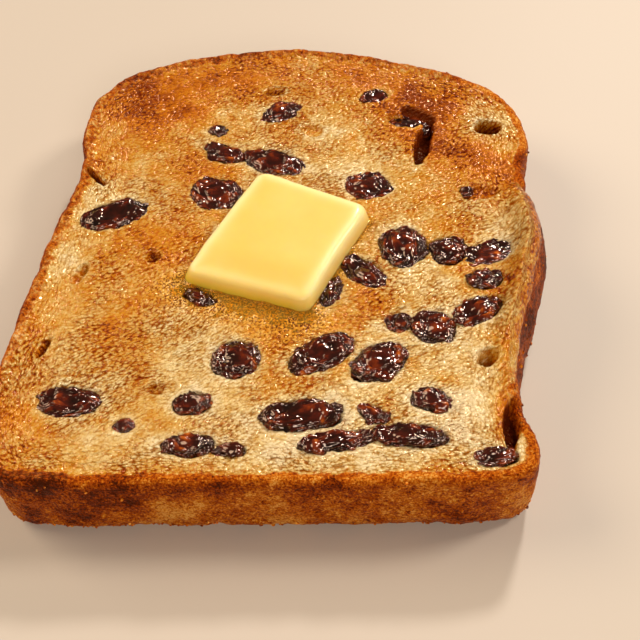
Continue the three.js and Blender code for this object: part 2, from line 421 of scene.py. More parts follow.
butter = {
    # the corners as shares of the solid's box, anticlockwise from the left
    "corners": ((0.0, 0.237), (0.657, 0.0), (1.0, 0.686), (0.39, 1.0)),
    "cornerGrow": 0.55, "cornerCut": 3.0, "sectors": 200, "sideRings": 44, "topRings": 20,
    "slump": 0.5, "droop": 1.1,  # how far the softened front side leans back, and sinks
    "crown": 0.1,  # how much higher the middle of its top is
    "foot": bread["thickness"] - bread["sag"], "sunk": 0.2, "seed": 23,
}
butterLow, butterHigh = (np.array(corner[:2]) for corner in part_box("butter_pat"))
butter["line"] = (butterLow + (butterHigh - butterLow) * butter["corners"]) / mm
butter["centre"] = butter["line"].mean(0)

# height above the crumb and inset of the pat's side, foot to top
butterProfile = np.array([
    (-0.5, 0.5), (0.0, -0.1), (0.3, -0.3), (0.8, -0.25), (1.5, -0.1), (2.2, 0.05), (2.8, 0.2),
    (3.4, 0.32), (3.85, 0.56), (4.15, 0.92), (4.35, 1.45), (4.43, 2.2), (4.45, 3.6),
])


def insetFromPat(x, y):
    # how far inside each of the pat's straight sides a place lies, negative outside
    line = butter["line"]
    sides = []
    for a, b in zip(line, np.roll(line, -1, 0)):
        along = (b - a) / np.linalg.norm(b - a)
        sides.append((y - a[1]) * along[0] - (x - a[0]) * along[1])
    return np.array(sides)


def fromPat(x, y, rounding=3.0):
    outside = np.maximum(rounding - insetFromPat(x, y), 0)
    return np.sqrt((outside ** 2).sum(0)) - rounding


def soakedBy(x, y):
    # how much melted butter the crumb has taken up at a place, most of it before the pat's front side
    front = smoothStep(-4, 3, -insetFromPat(x, y)[0])
    reach = 2.4 + 7.5 * front + 1.4 * flatNoise(x, y, 4.0, butter["seed"])
    return 1 - smoothStep(0.3 * reach, 1.15 * reach, fromPat(x, y))


# the crumb's face

pocket = {  # of each raisin: depth as a share of its thickness, the dip and the pale edge round it
    "depth": 0.62, "dip": 0.22, "dipReach": 1.1, "paleReach": 1.4,
}
holeStainAndShade = 4.0  # how much browner the inside of an air hole is: partly stain, partly painted shade

# air holes and cracks: x, y, length, width, turn in degrees, depth, share of the stain and painted shade
# inside
airHoles = [
    (41.1, -34.1, 4.2, 4.4, 0, 3.6, 0.3), (47.4, 32.2, 6.2, 4.6, -6, 4.2, 0.8),
    (32.1, 27.5, 15.6, 3.6, -105, 4.0, 1.0), (44.1, -49.9, 11.5, 3.0, -96, 3.4, 1.0),
    (31.4, 36.7, 9.5, 4.2, -40, 1.6, 0.9), (43.4, 11, 8.8, 4.6, 0, 1.2, 0.2),
    (-27.3, -5.6, 3.0, 3.2, 0, 1.6, 0.4), (-47.2, -29.3, 5.6, 1.9, 70, 1.7, 0.5),
    (-42.3, -10.1, 6.6, 2.0, 68, 1.5, 0.3), (-2.5, 46.6, 5.6, 2.8, 5, 1.5, 0.4),
    (6.4, 32.7, 5.8, 4.4, -20, 1.0, 0.2), (-23.6, -40.1, 3.8, 2.4, -26, 1.1, 0.3),
    (-42.8, 18.8, 7.6, 1.5, -50, 2.4, 1.0),
]

# places that browned more (or, below zero, less) than the rest: x, y, radius, amount
toastPatches = [
    (-33, 37.9, 13, 0.3), (-22, 48.9, 11, 0.24), (-4, 56.9, 12, 0.22), (-44, 26.9, 9, 0.16),
    (-40, 46.9, 9, 0.22), (26, 32.9, 9, 0.3), (41, 25.9, 10, 0.3), (50, 18.9, 8, 0.3),
    (32.4, 39.5, 5, 0.55), (35.4, 34, 4, 0.45), (40, 43.9, 9, 0.16), (21.9, 51.5, 12, 0.16),
    (-26, -12.1, 9, 0.2), (-32, -29.1, 8, 0.24), (-24, 1.9, 8, 0.1), (-20, 23.9, 9, 0.14),
    (-50.1, -30.5, 5, 0.3), (-53.1, -44.5, 6, 0.26), (-46.1, 3.5, 5, 0.2), (8, 46.9, 11, -0.02),
    (7, 31.9, 8, -0.04), (36.9, 3.5, 8, 0.24), (30, -15.1, 12, -0.12), (36, -45.1, 13, -0.36),
    (14, -56.1, 15, -0.33), (-16, -53.1, 14, -0.22), (-42, -9.1, 6, -0.14), (46, 32.9, 5, -0.3),
    (20, 6.9, 10, -0.06), (25.9, 12.5, 9, 0.12), (5, -37.1, 12, -0.1), (-38, -45.1, 10, -0.1),
    (-42.1, 11.5, 6, -0.12), (45.9, -33.5, 5, 0.2), (-0.1, -30.5, 9, 0.14), (11.9, -24.5, 8, 0.12),
    (19.9, -16.5, 7, 0.1),
    # beside the crack
    (43.4, -50.5, 2.6, 0.8), (43.9, -45.5, 3.2, 0.7), (45.9, -41, 3.4, 0.5), (41.5, -56, 2.4, 0.5),
    # juice from the raisins
    (30.9, -3.9, 3.2, 0.3), (36.7, -10.1, 4, 0.34), (43.3, -15.1, 4.6, 0.34), (13.5, -35.3, 4.2, 0.3),
    (26.5, -34.9, 3, 0.34), (20.1, -45.7, 3.6, 0.2), (33.5, -39.3, 2.2, 0.3),
]

# the same for the crust: x, y, height, radius, amount
crustPatches = [
    (-45.1, -60.5, 15, 8, 0.24), (-53.1, -50.5, 10, 9, 0.12), (-30.1, -61.5, 15, 6, 0.2),
    (49.5, -61, 6, 6, -0.24), (37, -62, 9, 6, 0.2), (49.9, -56.5, 9, 8, -0.16), (51.9, -38.5, 14, 8, 0.35),
    (56.9, -22.5, 14, 11, 0.34), (56.9, -6.5, 15, 11, 0.28), (56.9, 3.5, 15, 9, 0.24),
    (-4.1, -62.5, 6, 13, -0.2), (21.9, -62.5, 13, 10, -0.16), (-20.1, -62.5, 6, 8, -0.12),
    (33.9, -62.5, 6, 7, -0.1), (-27.5, -61.3, 11.5, 2.2, 0.5), (29.4, -61.5, 9, 3.4, 0.34),
    (33.4, -61.5, 5, 3, 0.3), (-10.1, -61.5, 15, 5, 0.16),
]


def faceNoise(x, y, size, order):
    return flatNoise(x, y, size, bread["seed"] + order)


def crustNoise(points, size, order):
    return latticeNoise(points, size, bread["seed"] + order)


def ellipseReach(x, y, centre, long, length, width):  # 1 on the ellipse's line
    dx, dy = x - centre[0], y - centre[1]
    along = (dx * long[0] + dy * long[1]) / (length / 2)
    over = (dy * long[0] - dx * long[1]) / (width / 2)
    return np.hypot(along, over)


def wideLip(x, y):  # share of the wider lip, which the base crust does not have
    return np.maximum(smoothStep(-34, -44, x), smoothStep(42, 52, y))


def crustBand(x, y):
    # share of crust colour on the face: wider where the lip is, none along the curl
    wide = wideLip(x, y)
    bare = np.minimum(1, 3 * curlShare(x, y))
    reach = bread["crustBand"] * (1 + 0.5 * wide - 0.7 * bare)
    reach *= 1 + 0.45 * faceNoise(x, y, 2.2, 17)
    inward = np.maximum(pastRim(x, y, fromCrust(x, y)), 0)
    return (0.8 - 0.22 * wide) * (1 - bare) * (1 - smoothStep(0.4, 1.3, inward / reach))


def crumbFace(x, y):
    # height of the crumb in millimetres and the finishes that go with it
    inset = fromCrust(x, y)
    calm = smoothStep(0, 8, fromPat(x, y))
    height = bread["thickness"] - bread["sag"] * (1 - np.exp(-inset / 14))
    height += curlRise(x, y, inset)
    height += bread["undulation"] * faceNoise(x, y, bread["undulationSize"], 0) * calm
    height += bread["dents"] * faceNoise(x, y, bread["dentSize"], 1) * (0.4 + 0.6 * calm)
    inward = pastRim(x, y, inset)
    wide = wideLip(x, y)
    lumps = 1 + bread["lipLumps"] * wide * (1 + 2 * faceNoise(x, y, 3.0, 16))
    height += bread["lipRise"] * lumps * bell(inward, bread["lipWidth"] * (1 + 0.6 * wide))
    height -= bread["grooveDepth"] * bell(inward - bread["grooveAt"], bread["grooveWidth"])
    hollow, pale, dark = np.zeros((3, len(x)))
    ragged = 0.25 * faceNoise(x, y, 1.5, 2) + 0.45 * faceNoise(x, y, 3.2, 4)
    for r in raisinList:
        length, width, thickness = r["size"]
        away = np.hypot(x - r["centre"][0], y - r["centre"][1])
        near = away < length / 2 + 5
        shown = sideAt(2 * (height[np.argmin(away)] - r["centre"][2]) / thickness).clip(0.6, 1)
        q = ellipseReach(x[near], y[near], r["centre"], r["long"], length * shown + 0.1, width * shown + 0.1)
        edge = (q - 1) * width / 2 + ragged[near]
        small = min(1, width / 5)
        dip = pocket["dip"] * bell(np.maximum(edge, 0), pocket["dipReach"]) * small
        # the pocket's edge under the raisin gets the hollow colour: juice stain and painted shade of the gap
        hollow[near] = np.maximum(hollow[near], 0.75 * (1 - smoothStep(-0.5, 0, edge)))
        pale[near] = np.maximum(pale[near], bell(np.maximum(edge - 0.2, 0), pocket["paleReach"]) * small)
        height[near] -= (1 - smoothStep(-0.45, 0.15, edge)) * pocket["depth"] * thickness + dip
    rough = 0.16 * faceNoise(x, y, 1.4, 3)
    for *centre, length, width, turn, depth, stainAndShade in airHoles:
        angle = math.radians(turn)
        q = ellipseReach(x, y, centre, (math.cos(angle), math.sin(angle)), length, width) + rough
        height -= (1 - smoothStep(0.66, 1.1, q)) * depth
        # stain and painted shade: the inside of each hole is browned by its share
        stainedAndShaded = stainAndShade * (1 - smoothStep(0.85, 1.1, q))
        hollow = np.maximum(hollow, stainedAndShaded)
        pale = np.maximum(pale, 0.7 * bell(q - 1.1, 0.35))
        dark = np.maximum(dark, stainedAndShaded)
    return height, inset, hollow, pale * (1 - dark) - holeStainAndShade * dark


def patchSum(points, patches, ragged):
    total = np.zeros(len(points))
    for *centre, radius, amount in patches:
        reach = np.linalg.norm(points - np.array(centre), axis=1)
        total += amount * bell(reach / radius * ragged)
    return total


def browning(x, y, inset, pale):
    brown = 0.4 + 0.16 * faceNoise(x, y, 17.0, 5) + 0.12 * faceNoise(x, y, 6.5, 6)
    brown += 0.07 * faceNoise(x, y, 2.6, 7)
    brown += patchSum(np.column_stack([x, y]), toastPatches, 1 + 0.35 * faceNoise(x, y, 5.0, 8))
    brown += 0.3 * bell(inset, 2.4)
    brown += curl["browned"] * curlShare(x, y) * bell(inset - curl["lean"], 5.0)
    return brown - 0.2 * pale


def crustBrowning(points):
    x, y, z = points.T
    brown = 0.45 + 0.18 * crustNoise(points, 9.0, 12) + 0.2 * crustNoise(points, 3.6, 13)
    brown += 0.12 * bell(z - 16.8, 2.2) - 0.1 * (1 - wideLip(x, y)) * bell(z - 18.1, 0.6)
    return brown + patchSum(points, crustPatches, 1 + 0.4 * crustNoise(points, 3.0, 14))


def crumbGrain(x, y, inset):
    # the crumb was stretched along the crust near it and aslant further in: two values rise across
    # the stretch, and the third is the first one's share
    slant = math.radians(bread["grainSlant"])
    inner = y * math.cos(slant) - x * math.sin(slant) + 3.0 * faceNoise(x, y, 24.0, 9)
    outer = inset + 0.8 * faceNoise(x, y, 9.0, 10)
    return {"acrossCrust": outer, "acrossSlant": inner, "nearCrust": 1 - smoothStep(7, 14, inset)}


# the slice's mesh

def boundaryRuns(line):
    # splits the closed line at the four corners and spaces each run evenly
    stops = [int(np.argmin(np.linalg.norm(line - np.array(point), axis=1))) for point in corners.values()]
    runs = []
    for a, b, cells in zip(stops, stops[1:] + stops[:1], ("acrossCells", "alongCells") * 2):
        if b <= a:
            b += len(line)
        runs.append(evenly(line[np.arange(a, b + 1) % len(line)], bread[cells]))
    base, right, crown, left = runs
    return base, right, crown[::-1], left[::-1]


def fillBetween(base, right, crown, left, relax=60):
    # a grid stretched between four boundary runs, then evened out
    u = np.linspace(0, 1, len(base))[None, :, None]
    v = np.linspace(0, 1, len(left))[:, None, None]
    grid = (1 - v) * base[None] + v * crown[None] + (1 - u) * left[:, None] + u * right[:, None]
    grid -= ((1 - u) * (1 - v) * base[0] + u * (1 - v) * base[-1]
             + (1 - u) * v * crown[0] + u * v * crown[-1])
    for _ in range(relax):
        inner = (grid[1:-1, :-2] + grid[1:-1, 2:] + grid[:-2, 1:-1] + grid[2:, 1:-1]) / 4
        grid[1:-1, 1:-1] = 0.5 * grid[1:-1, 1:-1] + 0.5 * inner
    return grid


def loopOrder(rows, columns):
    # anticlockwise round a grid's edge, starting at its first corner
    index = np.arange(rows * columns).reshape(rows, columns)
    return np.concatenate([index[0, :-1], index[:-1, -1], index[-1, :0:-1], index[:0:-1, 0]])


def cellCorners(grid):  # anticlockwise round each of a grid's cells
    return grid[:-1, :-1], grid[:-1, 1:], grid[1:, 1:], grid[1:, :-1]


def gridQuads(ids):
    return np.column_stack([corner.ravel() for corner in cellCorners(ids)])


def insetLine(loop, amount):  # one amount for the whole loop or one for each point
    along = np.roll(loop, -1, 0) - np.roll(loop, 1, 0)
    along /= np.linalg.norm(along, axis=1)[:, None]
    inward = np.stack([-along[:, 1], along[:, 0]], 1)
    return loop + inward * np.reshape(amount, (-1, 1))


def makeSlice(material):
    names = ("browned", "crust", "hollow", "pale", "soaked", "acrossCrust", "acrossSlant", "nearCrust")
    values = {name: [] for name in names}
    points, faces, triangles = [], [], []

    def keep(added, **given):  # stores points with their values and gives their numbers
        first = sum(len(p) for p in points)
        points.append(added)
        for name in names:
            values[name].append(np.broadcast_to(given.get(name, 0.0), len(added)))
        return np.arange(first, first + len(added))

    def keepUnder(added):
        x, y = added[:, 0], added[:, 1]
        inset = fromCrust(x, y)
        edge = bell(np.maximum(inset - 2.2, 0), 0.7, 1.5)
        brown = browning(x + 40, -y, inset, 0) + 0.12  # moved aside, so that it isn't the face's pattern
        return keep(added, browned=brown, crust=edge, **crumbGrain(x, y, inset))

    rimInset = wallProfile[0, 1]
    grid = fillBetween(*boundaryRuns(insetLine(crustLine, rimInset + curlLean(*crustLine.T))))
    rows, columns = grid.shape[:2]
    top = grid.reshape(-1, 2)
    x, y = top.T
    height, inset, hollow, pale = crumbFace(x, y)
    face = np.column_stack([top, height])
    band = crustBand(x, y)
    skin = smoothStep(0.25, 0.6, band)
    brown = browning(x, y, inset, pale) * (1 - skin) + crustBrowning(face) * skin
    ids = keep(face, browned=brown, crust=band, hollow=hollow, pale=pale, soaked=soakedBy(x, y),
               **crumbGrain(x, y, inset))
    faces.append(gridQuads(ids.reshape(rows, columns)))

    # the wall goes down ring by ring from the rim
    above = loopOrder(rows, columns)
    rim = top[above]
    rimRise = curlRise(*rim.T, np.zeros(len(rim)))
    rimLean = curlLean(*rim.T)
    lip = height[above] - bread["thickness"] - rimRise
    run = runLength(wallProfile[:, :2])
    for stop in np.linspace(0, run[-1], bread["wallLayers"] + 1)[1:]:
        z, sideInset, lean = (np.interp(stop, run, column) for column in wallProfile.T)
        level = insetLine(rim, -(rimInset - sideInset + (1 - lean) * rimLean))
        share = z / bread["thickness"]
        lift = rimRise * (curl["underRise"] + (1 - curl["underRise"]) * share)
        ring = np.column_stack([level, z + lift + lip * share ** 6])
        torn = bread["footTear"] * (1 - share) ** 3 * crustNoise(ring, 2.4, 15)
        ring[:, :2] = insetLine(ring[:, :2], torn)
        depth = bread["thickness"] - z
        golden = np.minimum(1, 3 * curlShare(*level.T)) * (1 - smoothStep(1, 3.4, depth))
        crust = (0.8 + 0.2 * smoothStep(0, 1, depth)) * (1 - golden)
        below = keep(ring, browned=crustBrowning(ring), crust=crust, nearCrust=1.0)
        faces.append(np.column_stack([above, below, np.roll(below, -1), np.roll(above, -1)]))
        above = below

    # two rings that halve the count, then a coarser grid close the underside
    for step in (1.2, 2.6):
        ring = np.column_stack([insetLine(ring[:, :2], step), ring[:, 2]])[::2]
        below = keepUnder(ring)
        a, b, c = above[::2], above[1::2], np.roll(above[::2], -1)
        d, e = below, np.roll(below, -1)
        triangles += [np.column_stack(three) for three in ((a, d, b), (b, d, e), (b, e, c))]
        above = below
    m, n = bread["acrossCells"] // 4, bread["alongCells"] // 4
    loop = np.concatenate([ring, ring[:1]])[:, :2]
    under = fillBetween(loop[:m + 1], loop[m:m + n + 1], loop[m + n:2 * m + n + 1][::-1],
                        loop[2 * m + n:][::-1], relax=20)
    edge = loopOrder(*under.shape[:2])
    inside = np.ones(under.shape[:2], bool)
    inside.ravel()[edge] = False
    ids = np.zeros(inside.shape, int)
    ids.ravel()[edge] = above
    inner = under[inside]
    lift = curl["underRise"] * curlRise(*inner.T, fromCrust(*inner.T))
    ids[inside] = keepUnder(np.column_stack([inner, lift]))
    faces.append(gridQuads(ids)[:, [0, 3, 2, 1]])

    allFaces = [f for group in faces + triangles for f in group.tolist()]
    piece = meshObject("toastedSlice", np.concatenate(points) * mm, allFaces, material)
    for name in names:
        writeValues(piece, name, np.concatenate(values[name]))
    return piece


crumbRelief = {
    "Pore Size": 2.3, "Pore Depth": 0.20,  # open pores in the cut crumb
    "Small Pore Size": 1.3, "Small Pore Depth": 0.22,
    "Swell Size": 1.8, "Swell Depth": 0.38,
    "Crust Size": 2.2, "Crust Depth": 0.36,  # blisters and creases in the crust
    "Under Flat": 0.25,
}


def poreField(vector, size):
    # rounded pits scattered at the given size, some of them faint
    inputs = {"Vector": vector, "Scale": 1.0 / size, "Smoothness": 0.25}
    reach = addNode(vector, "ShaderNodeTexVoronoi", inputs, {"feature": "SMOOTH_F1"})
    pit = mapRange(reach, 0.06, 0.5, 1, 0, smooth=True)
    return pit * mapRange(partsOf(reach.output("Color"))[0], 0.2, 0.8, 0.2, 1)


def alongGrain(placeMm, field, stretch=0.6):
    # the same field laid along the crust and aslant, crossfaded
    x, y, z = partsOf(placeMm)
    laid = []
    for across in ("acrossSlant", "acrossCrust"):
        laid.append(field(joined(x * stretch, y * stretch, namedValue(x.tree, across) + z)))
    return blend(namedValue(x.tree, "nearCrust"), *laid)


def reliefTree(material):
    geometry, size = newGeometryTree("crumbRelief", crumbRelief)
    tree = geometry.tree
    placeMm = scaled(addNode(tree, "GeometryNodeInputPosition"), 1 / mm)

    def pores(kind):
        return alongGrain(placeMm, lambda v: poreField(v, size[kind + " Size"])) * size[kind + " Depth"]

    swell = alongGrain(placeMm, lambda v: noise(v, 1 / size["Swell Size"], 2.0))
    crumb = (swell - 0.5) * (size["Swell Depth"] * 2.0) - (pores("Pore") + pores("Small Pore"))
    crustScale = 1 / size["Crust Size"]
    blister = noise(placeMm, crustScale, 5.0, 0.68) - 0.5
    crease = noise(vectorMath(placeMm, "MULTIPLY", {1: (1.0, 1.0, 2.6)}), crustScale * 0.6, 3.0)
    creased = mapRange(abs(crease - 0.5), 0, 0.06, -0.5, 0, smooth=True)
    skin = (blister + creased * 0.5) * (size["Crust Depth"] * 2.0)
    facing = partsOf(addNode(tree, "GeometryNodeInputNormal"))[2]
    under = mapRange(facing, -0.95, -0.5, size["Under Flat"], 1)
    calm = mapRange(namedValue(tree, "pale"), 0.2, 0.9, 1, 0.45)
    total = blend(namedValue(tree, "crust"), crumb, skin) * under * calm
    stored = storedAs(movedOut(geometry, total * mm), "relief", total)
    return finishTree(keptAboveFloor(stored), material)


breadFinish = {
    "crumbStops": [(0.0, "#e6d3a8"), (0.14, "#dcc084"), (0.32, "#cfa555"), (0.5, "#ca8b20"),
                   (0.7, "#c46e05"), (1.0, "#883804")],
    "crustStops": [(0.0, "#f2b256"), (0.26, "#dc801a"), (0.5, "#b85206"), (0.76, "#822c02"),
                   (1.0, "#481602")],
    # the two pit colours are painted shade, multiplied into the crumb's low places
    "paintedPitShade": "#b4560a", "palePaintedPitShade": "#a8703c", "hollowStainAndShade": "#4a1404",
    # soakedPinholeShade is painted shade in the soaked crumb's pinholes
    "soakedColour": "#f0b036", "soakedPinholeShade": "#3a1802",
    "crinkleSize": 0.58, "granuleSize": 0.68, "pinholeSize": 0.44, "gritSize": 0.3,
    "beadSize": 1.15, "beadHeight": 0.15,
    "dampRoughness": (0.23, 0.12), "crustRoughness": 0.5, "crumbShine": 0.9, "crustShine": 0.14,
    "sheen": "#ffe6c0", "darkSheen": "#ffbc74",  # colours of the light that pale and dark bread reflects
    "shader": {"Subsurface Weight": 0.05, "Subsurface Radius": (1.0, 0.45, 0.2),
               "Subsurface Scale": 1.0 * mm},
}


def breadMaterial():
    material, tree, shader = newMaterial("toastedBread")
    finish = breadFinish
    placeMm = objectPlaceMm(tree)
    browned, crust, soaked, hollow, relief = (
        namedValue(tree, name) for name in ("browned", "crust", "soaked", "hollow", "relief"))

    def rough(size, detail=2.0, roughness=0.5, vector=placeMm):
        return noise(vector, 1 / size, detail, roughness) - 0.5

    def cells(vector, size):
        return addNode(tree, "ShaderNodeTexVoronoi", {"Vector": vector, "Scale": 1 / size})

    # the cut crumb is crinkled along its grain, and its granules browned a little differently
    def crinkles(vector):
        return rough(finish["crinkleSize"], 1.0, 0.5, vector)

    def domes(vector):
        reach = cells(vector, finish["granuleSize"]) / 0.62
        return 0.6 - reach * reach

    # beads of melted butter round off some of the granules
    def beads(vector):
        cell = cells(vector, finish["beadSize"])
        reach = cell / 0.48
        top = 1.0 - reach * reach
        luck = partsOf(cell.output("Color"))[0]
        return top.calc("MAXIMUM", top, 0) * mapRange(luck, 0.35, 0.45)

    crinkle = alongGrain(placeMm, crinkles, 0.75)
    dome = alongGrain(placeMm, domes, 0.8)
    bead = alongGrain(placeMm, beads, 0.7)
    beaded = mapRange(bead, 0, 0.3)
    pinhole = mapRange(rough(finish["pinholeSize"], 2, 0.6) + soaked * 0.13, 0.1, 0.16, smooth=True)
    grit = rough(finish["gritSize"], 2.0, 0.6)
    coarse = mapRange(rough(12), -0.14, 0.14, 0.55, 1.2, smooth=True)
    # sunk marks the crumb's low places (pinholes, crinkle valleys, gaps between granules), which get painted
    # shade
    sunk = mapRange(pinhole * 0.9 - crinkle * 1.7 - dome * 0.6 - relief * 0.9, -0.3, 0.9) * coarse

    # painted shade: low places also move the colour towards brown
    level = browned + rough(2.6, 3.0, 0.6) * 0.5 + grit * 0.5 + sunk * 0.38
    crumbColour = colourRamp(level - 0.13, finish["crumbStops"])
    # painted shade: the pits are multiplied darker
    paintedPitShade = mixColour(mapRange(browned, 0.2, 0.42), finish["palePaintedPitShade"], finish["paintedPitShade"])
    crumbColour = mixColour(sunk * 0.75, crumbColour, paintedPitShade, "MULTIPLY")
    # hollows take a dark red-brown: partly stain, partly painted shade
    crumbColour = mixColour(mapRange(hollow, 0.2, 1, 0, 0.85), crumbColour, finish["hollowStainAndShade"])
    speck = rough(0.42, 3.0, 0.7)
    # painted shade: the crust's colour darkens where its relief and granules lie low
    crustLevel = browned + rough(1.5, 4.0, 0.7) + speck * 1.9 - dome * 0.12 - relief * 0.4
    crustColour = colourRamp(crustLevel, finish["crustStops"])
    ragged = mapRange(crust + rough(1.3, 3, 0.6), 0.36, 0.72, smooth=True)
    colour = mixColour(ragged, crumbColour, crustColour)
    # painted shade in the soaked crumb's pinholes and pits
    pooled = mixColour(pinhole, finish["soakedColour"], finish["soakedPinholeShade"])
    pooled = mixColour(sunk * 0.35, pooled, finish["paintedPitShade"], "MULTIPLY")
    colour = mixColour(soaked * 0.72, colour, pooled)

    # butter has run over the face, most of it near the pat
    damp = mapRange(rough(8), -0.12, 0.12, *finish["dampRoughness"]) - soaked * 0.06 - beaded * 0.02
    crumbBump = crinkle * 0.22 + dome * 0.18 - pinhole * 0.12 + rough(1.2, 1.0) * 0.3
    crumbBump = crumbBump * coarse * mapRange(soaked, 0, 1, 1, 0.4)
    crumbBump = crumbBump * mapRange(beaded, 0, 1, 1, 0.12) + bead * finish["beadHeight"]
    crustBump = speck * 0.6 + grit * 0.3 + dome * 0.06
    shine = blend(ragged, finish["crumbShine"], finish["crustShine"])
    dark = mapRange(blend(ragged, level - beaded * 0.35, 1), 0.5, 0.9)
    fill(shader, {
        **finish["shader"], "Base Color": colour, "Roughness": blend(ragged, damp, finish["crustRoughness"]),
        "Normal": bumped(blend(ragged, crumbBump, crustBump), 1.0),
        "Specular IOR Level": shine * mapRange(hollow, 0.1, 0.8, 1, 0.15),
        "Specular Tint": mixColour(dark, finish["sheen"], finish["darkSheen"]),
    })
    return material


# crumbs that cling to the crust, most of them at its foot

crumbBits = {
    "Density": 360000.0,  # for each square metre where they are thickest
    "Smallest": 0.16, "Largest": 0.42, "Lumps": 0.28, "Seed": 5.0,
}


def crumbChance(height, crust):
    foot = smoothStep(4, 0.6, height) * smoothStep(-0.05, 0.12, height)
    return smoothStep(0.5, 0.9, crust) * (0.05 + 0.95 * foot)


def crumbTree(material):
    surface, size = newGeometryTree("crustCrumbs", crumbBits)
    tree, seed = surface.tree, size["Seed"]
    density = namedValue(tree, "crumbChance") * size["Density"]
    points = addNode(tree, "GeometryNodeDistributePointsOnFaces",
                     {"Mesh": surface, "Density": density, "Seed": seed})
    ball = addNode(tree, "GeometryNodeMeshIcoSphere", {"Radius": mm, "Subdivisions": 3})
    turn = addNode(tree, "FunctionNodeRandomValue", {0: (0.0,) * 3, 1: (2 * math.pi,) * 3, "Seed": seed},
                   {"data_type": "FLOAT_VECTOR"})
    # the square of an even chance makes small crumbs the common ones
    luck = addNode(tree, "FunctionNodeRandomValue", {2: 0.0, 3: 1.0, "Seed": seed + 1.0}).output(1)
    span = size["Largest"] - size["Smallest"]
    scale = luck.calc("MULTIPLY_ADD", luck * luck, span, size["Smallest"])
    bits = addNode(tree, "GeometryNodeInstanceOnPoints",
                   {"Points": points, "Instance": ball, "Rotation": turn, "Scale": scale})
    real = addNode(tree, "GeometryNodeRealizeInstances", {0: bits})
    lumps = noise(addNode(tree, "GeometryNodeInputPosition"), 2.2 / mm) - 0.5
    return finishTree(keptAboveFloor(movedOut(real, lumps * (size["Lumps"] * (2 * mm)))), material)


def crumbMaterial():
    material, tree, shader = newMaterial("crustCrumb")
    placeMm = objectPlaceMm(tree)
    speck = noise(placeMm, 5.0, 2.0)
    level = (speck - 0.5) * 0.5 + mapRange(noise(placeMm, 1.4, 3), 0.35, 0.65)
    fill(shader, {
        "Base Color": colourRamp(level, breadFinish["crustStops"]), "Normal": bumped(speck, 0.1, 0.6),
        "Roughness": breadFinish["crustRoughness"], "Specular Tint": breadFinish["darkSheen"],
    })
    return material


def makeCrumbs(slicePiece, material):
    # the tree scatters over a copy of the slice and keeps only the crumbs
    piece = addObject("crustCrumbs", slicePiece.data.copy())
    height = readValues(piece.data.vertices, "co", 3)[2::3] / mm
    crust = readValues(piece.data.attributes["crust"].data, "value")
    writeValues(piece, "crumbChance", crumbChance(height, crust))
    bakeTree(piece, crumbTree(material), crumbBits)
    return piece


# raisins

raisinShape = {
    "Wrinkle Size": 2.4, "Wrinkle Depth": 0.5,
    "Crease Size": 1.2, "Crease Depth": 0.2,
    "Lump Size": 3.8, "Lump Height": 1.2, "Swollen": 0.44,
}


def raisinLumps(material):
    # one sphere for each packed raisin, pulled onto the solid and joined into one mesh
    ball = bmesh.new()
    bmesh.ops.create_icosphere(ball, subdivisions=5, radius=1.0)
    sphere = np.array([v.co[:] for v in ball.verts])
    triangles = np.array([[v.index for v in f.verts] for f in ball.faces])
    ball.free()
    widening = sideAt(sphere[:, 2]) / np.maximum(sideAt(sphere[:, 2], 2.0), 0.01)
    boxy = sphere * (widening[:, None] * [1, 1, 0] + [0, 0, 1])
    points, faces, local = [], [], []
    for order, r in enumerate(raisinList):
        tree = solidTree(r["name"])
        centre = Vector(r["centre"] * mm)
        half = r["size"] / 2
        ways = (boxy * half) @ np.array([[*r["long"], 0], [*r["across"], 0], [0, 0, 1]])
        reach = []
        for way in ways:
            way = Vector(way).normalized()
            hit = tree.ray_cast(centre + way * 0.05, -way)[0]
            reach.append((hit - centre).length / mm if hit else 0)
        pull = np.array(reach) / np.linalg.norm(ways, axis=1)
        pull = 0.5 * np.where(pull > 0.2, pull, 1) + 0.5 * np.clip(pull, 0.94, 1.02)
        points.append(ways * pull[:, None] + r["centre"])
        faces.append(triangles + order * len(sphere))
        local.append(sphere * half + order * 37.0)  # far apart, so that no two wrinkle alike
    piece = meshObject("raisins", np.concatenate(points) * mm, np.concatenate(faces).tolist(), material)
    writeValues(piece, "ownPlace", np.concatenate(local), "FLOAT_VECTOR")
    return piece


def wrinkleTree(material):
    geometry, size = newGeometryTree("raisinWrinkles", raisinShape)
    own = namedValue(geometry.tree, "ownPlace", "FLOAT_VECTOR")
    bent = warped(own, 0.55, 0.35, 4.0)

    def fold(kind):
        valley = abs(noise(bent, 1 / size[kind + " Size"]) - 0.5)
        return mapRange(valley, 0, 0.14, 1, 0, smooth=True) * size[kind + " Depth"]

    folds = fold("Wrinkle") + fold("Crease")
    lump = (noise(own, 1 / size["Lump Size"]) - 0.5) * (size["Lump Height"] * 2.0)
    moved = movedOut(geometry, (lump - folds + size["Swollen"]) * mm)
    return finishTree(storedAs(moved, "fold", folds), material)


raisinFinish = {
    "stops": [(0.0, "#100302"), (0.26, "#2c0904"), (0.41, "#461208"), (0.57, "#762a0a"), (0.74, "#c8681a")],
    "ridgeSize": 1.3, "ridgeHeight": 0.16,
    "shader": {"Roughness": 0.08, "Specular IOR Level": 0.95, "Specular Tint": "#ffe8dc"},
}


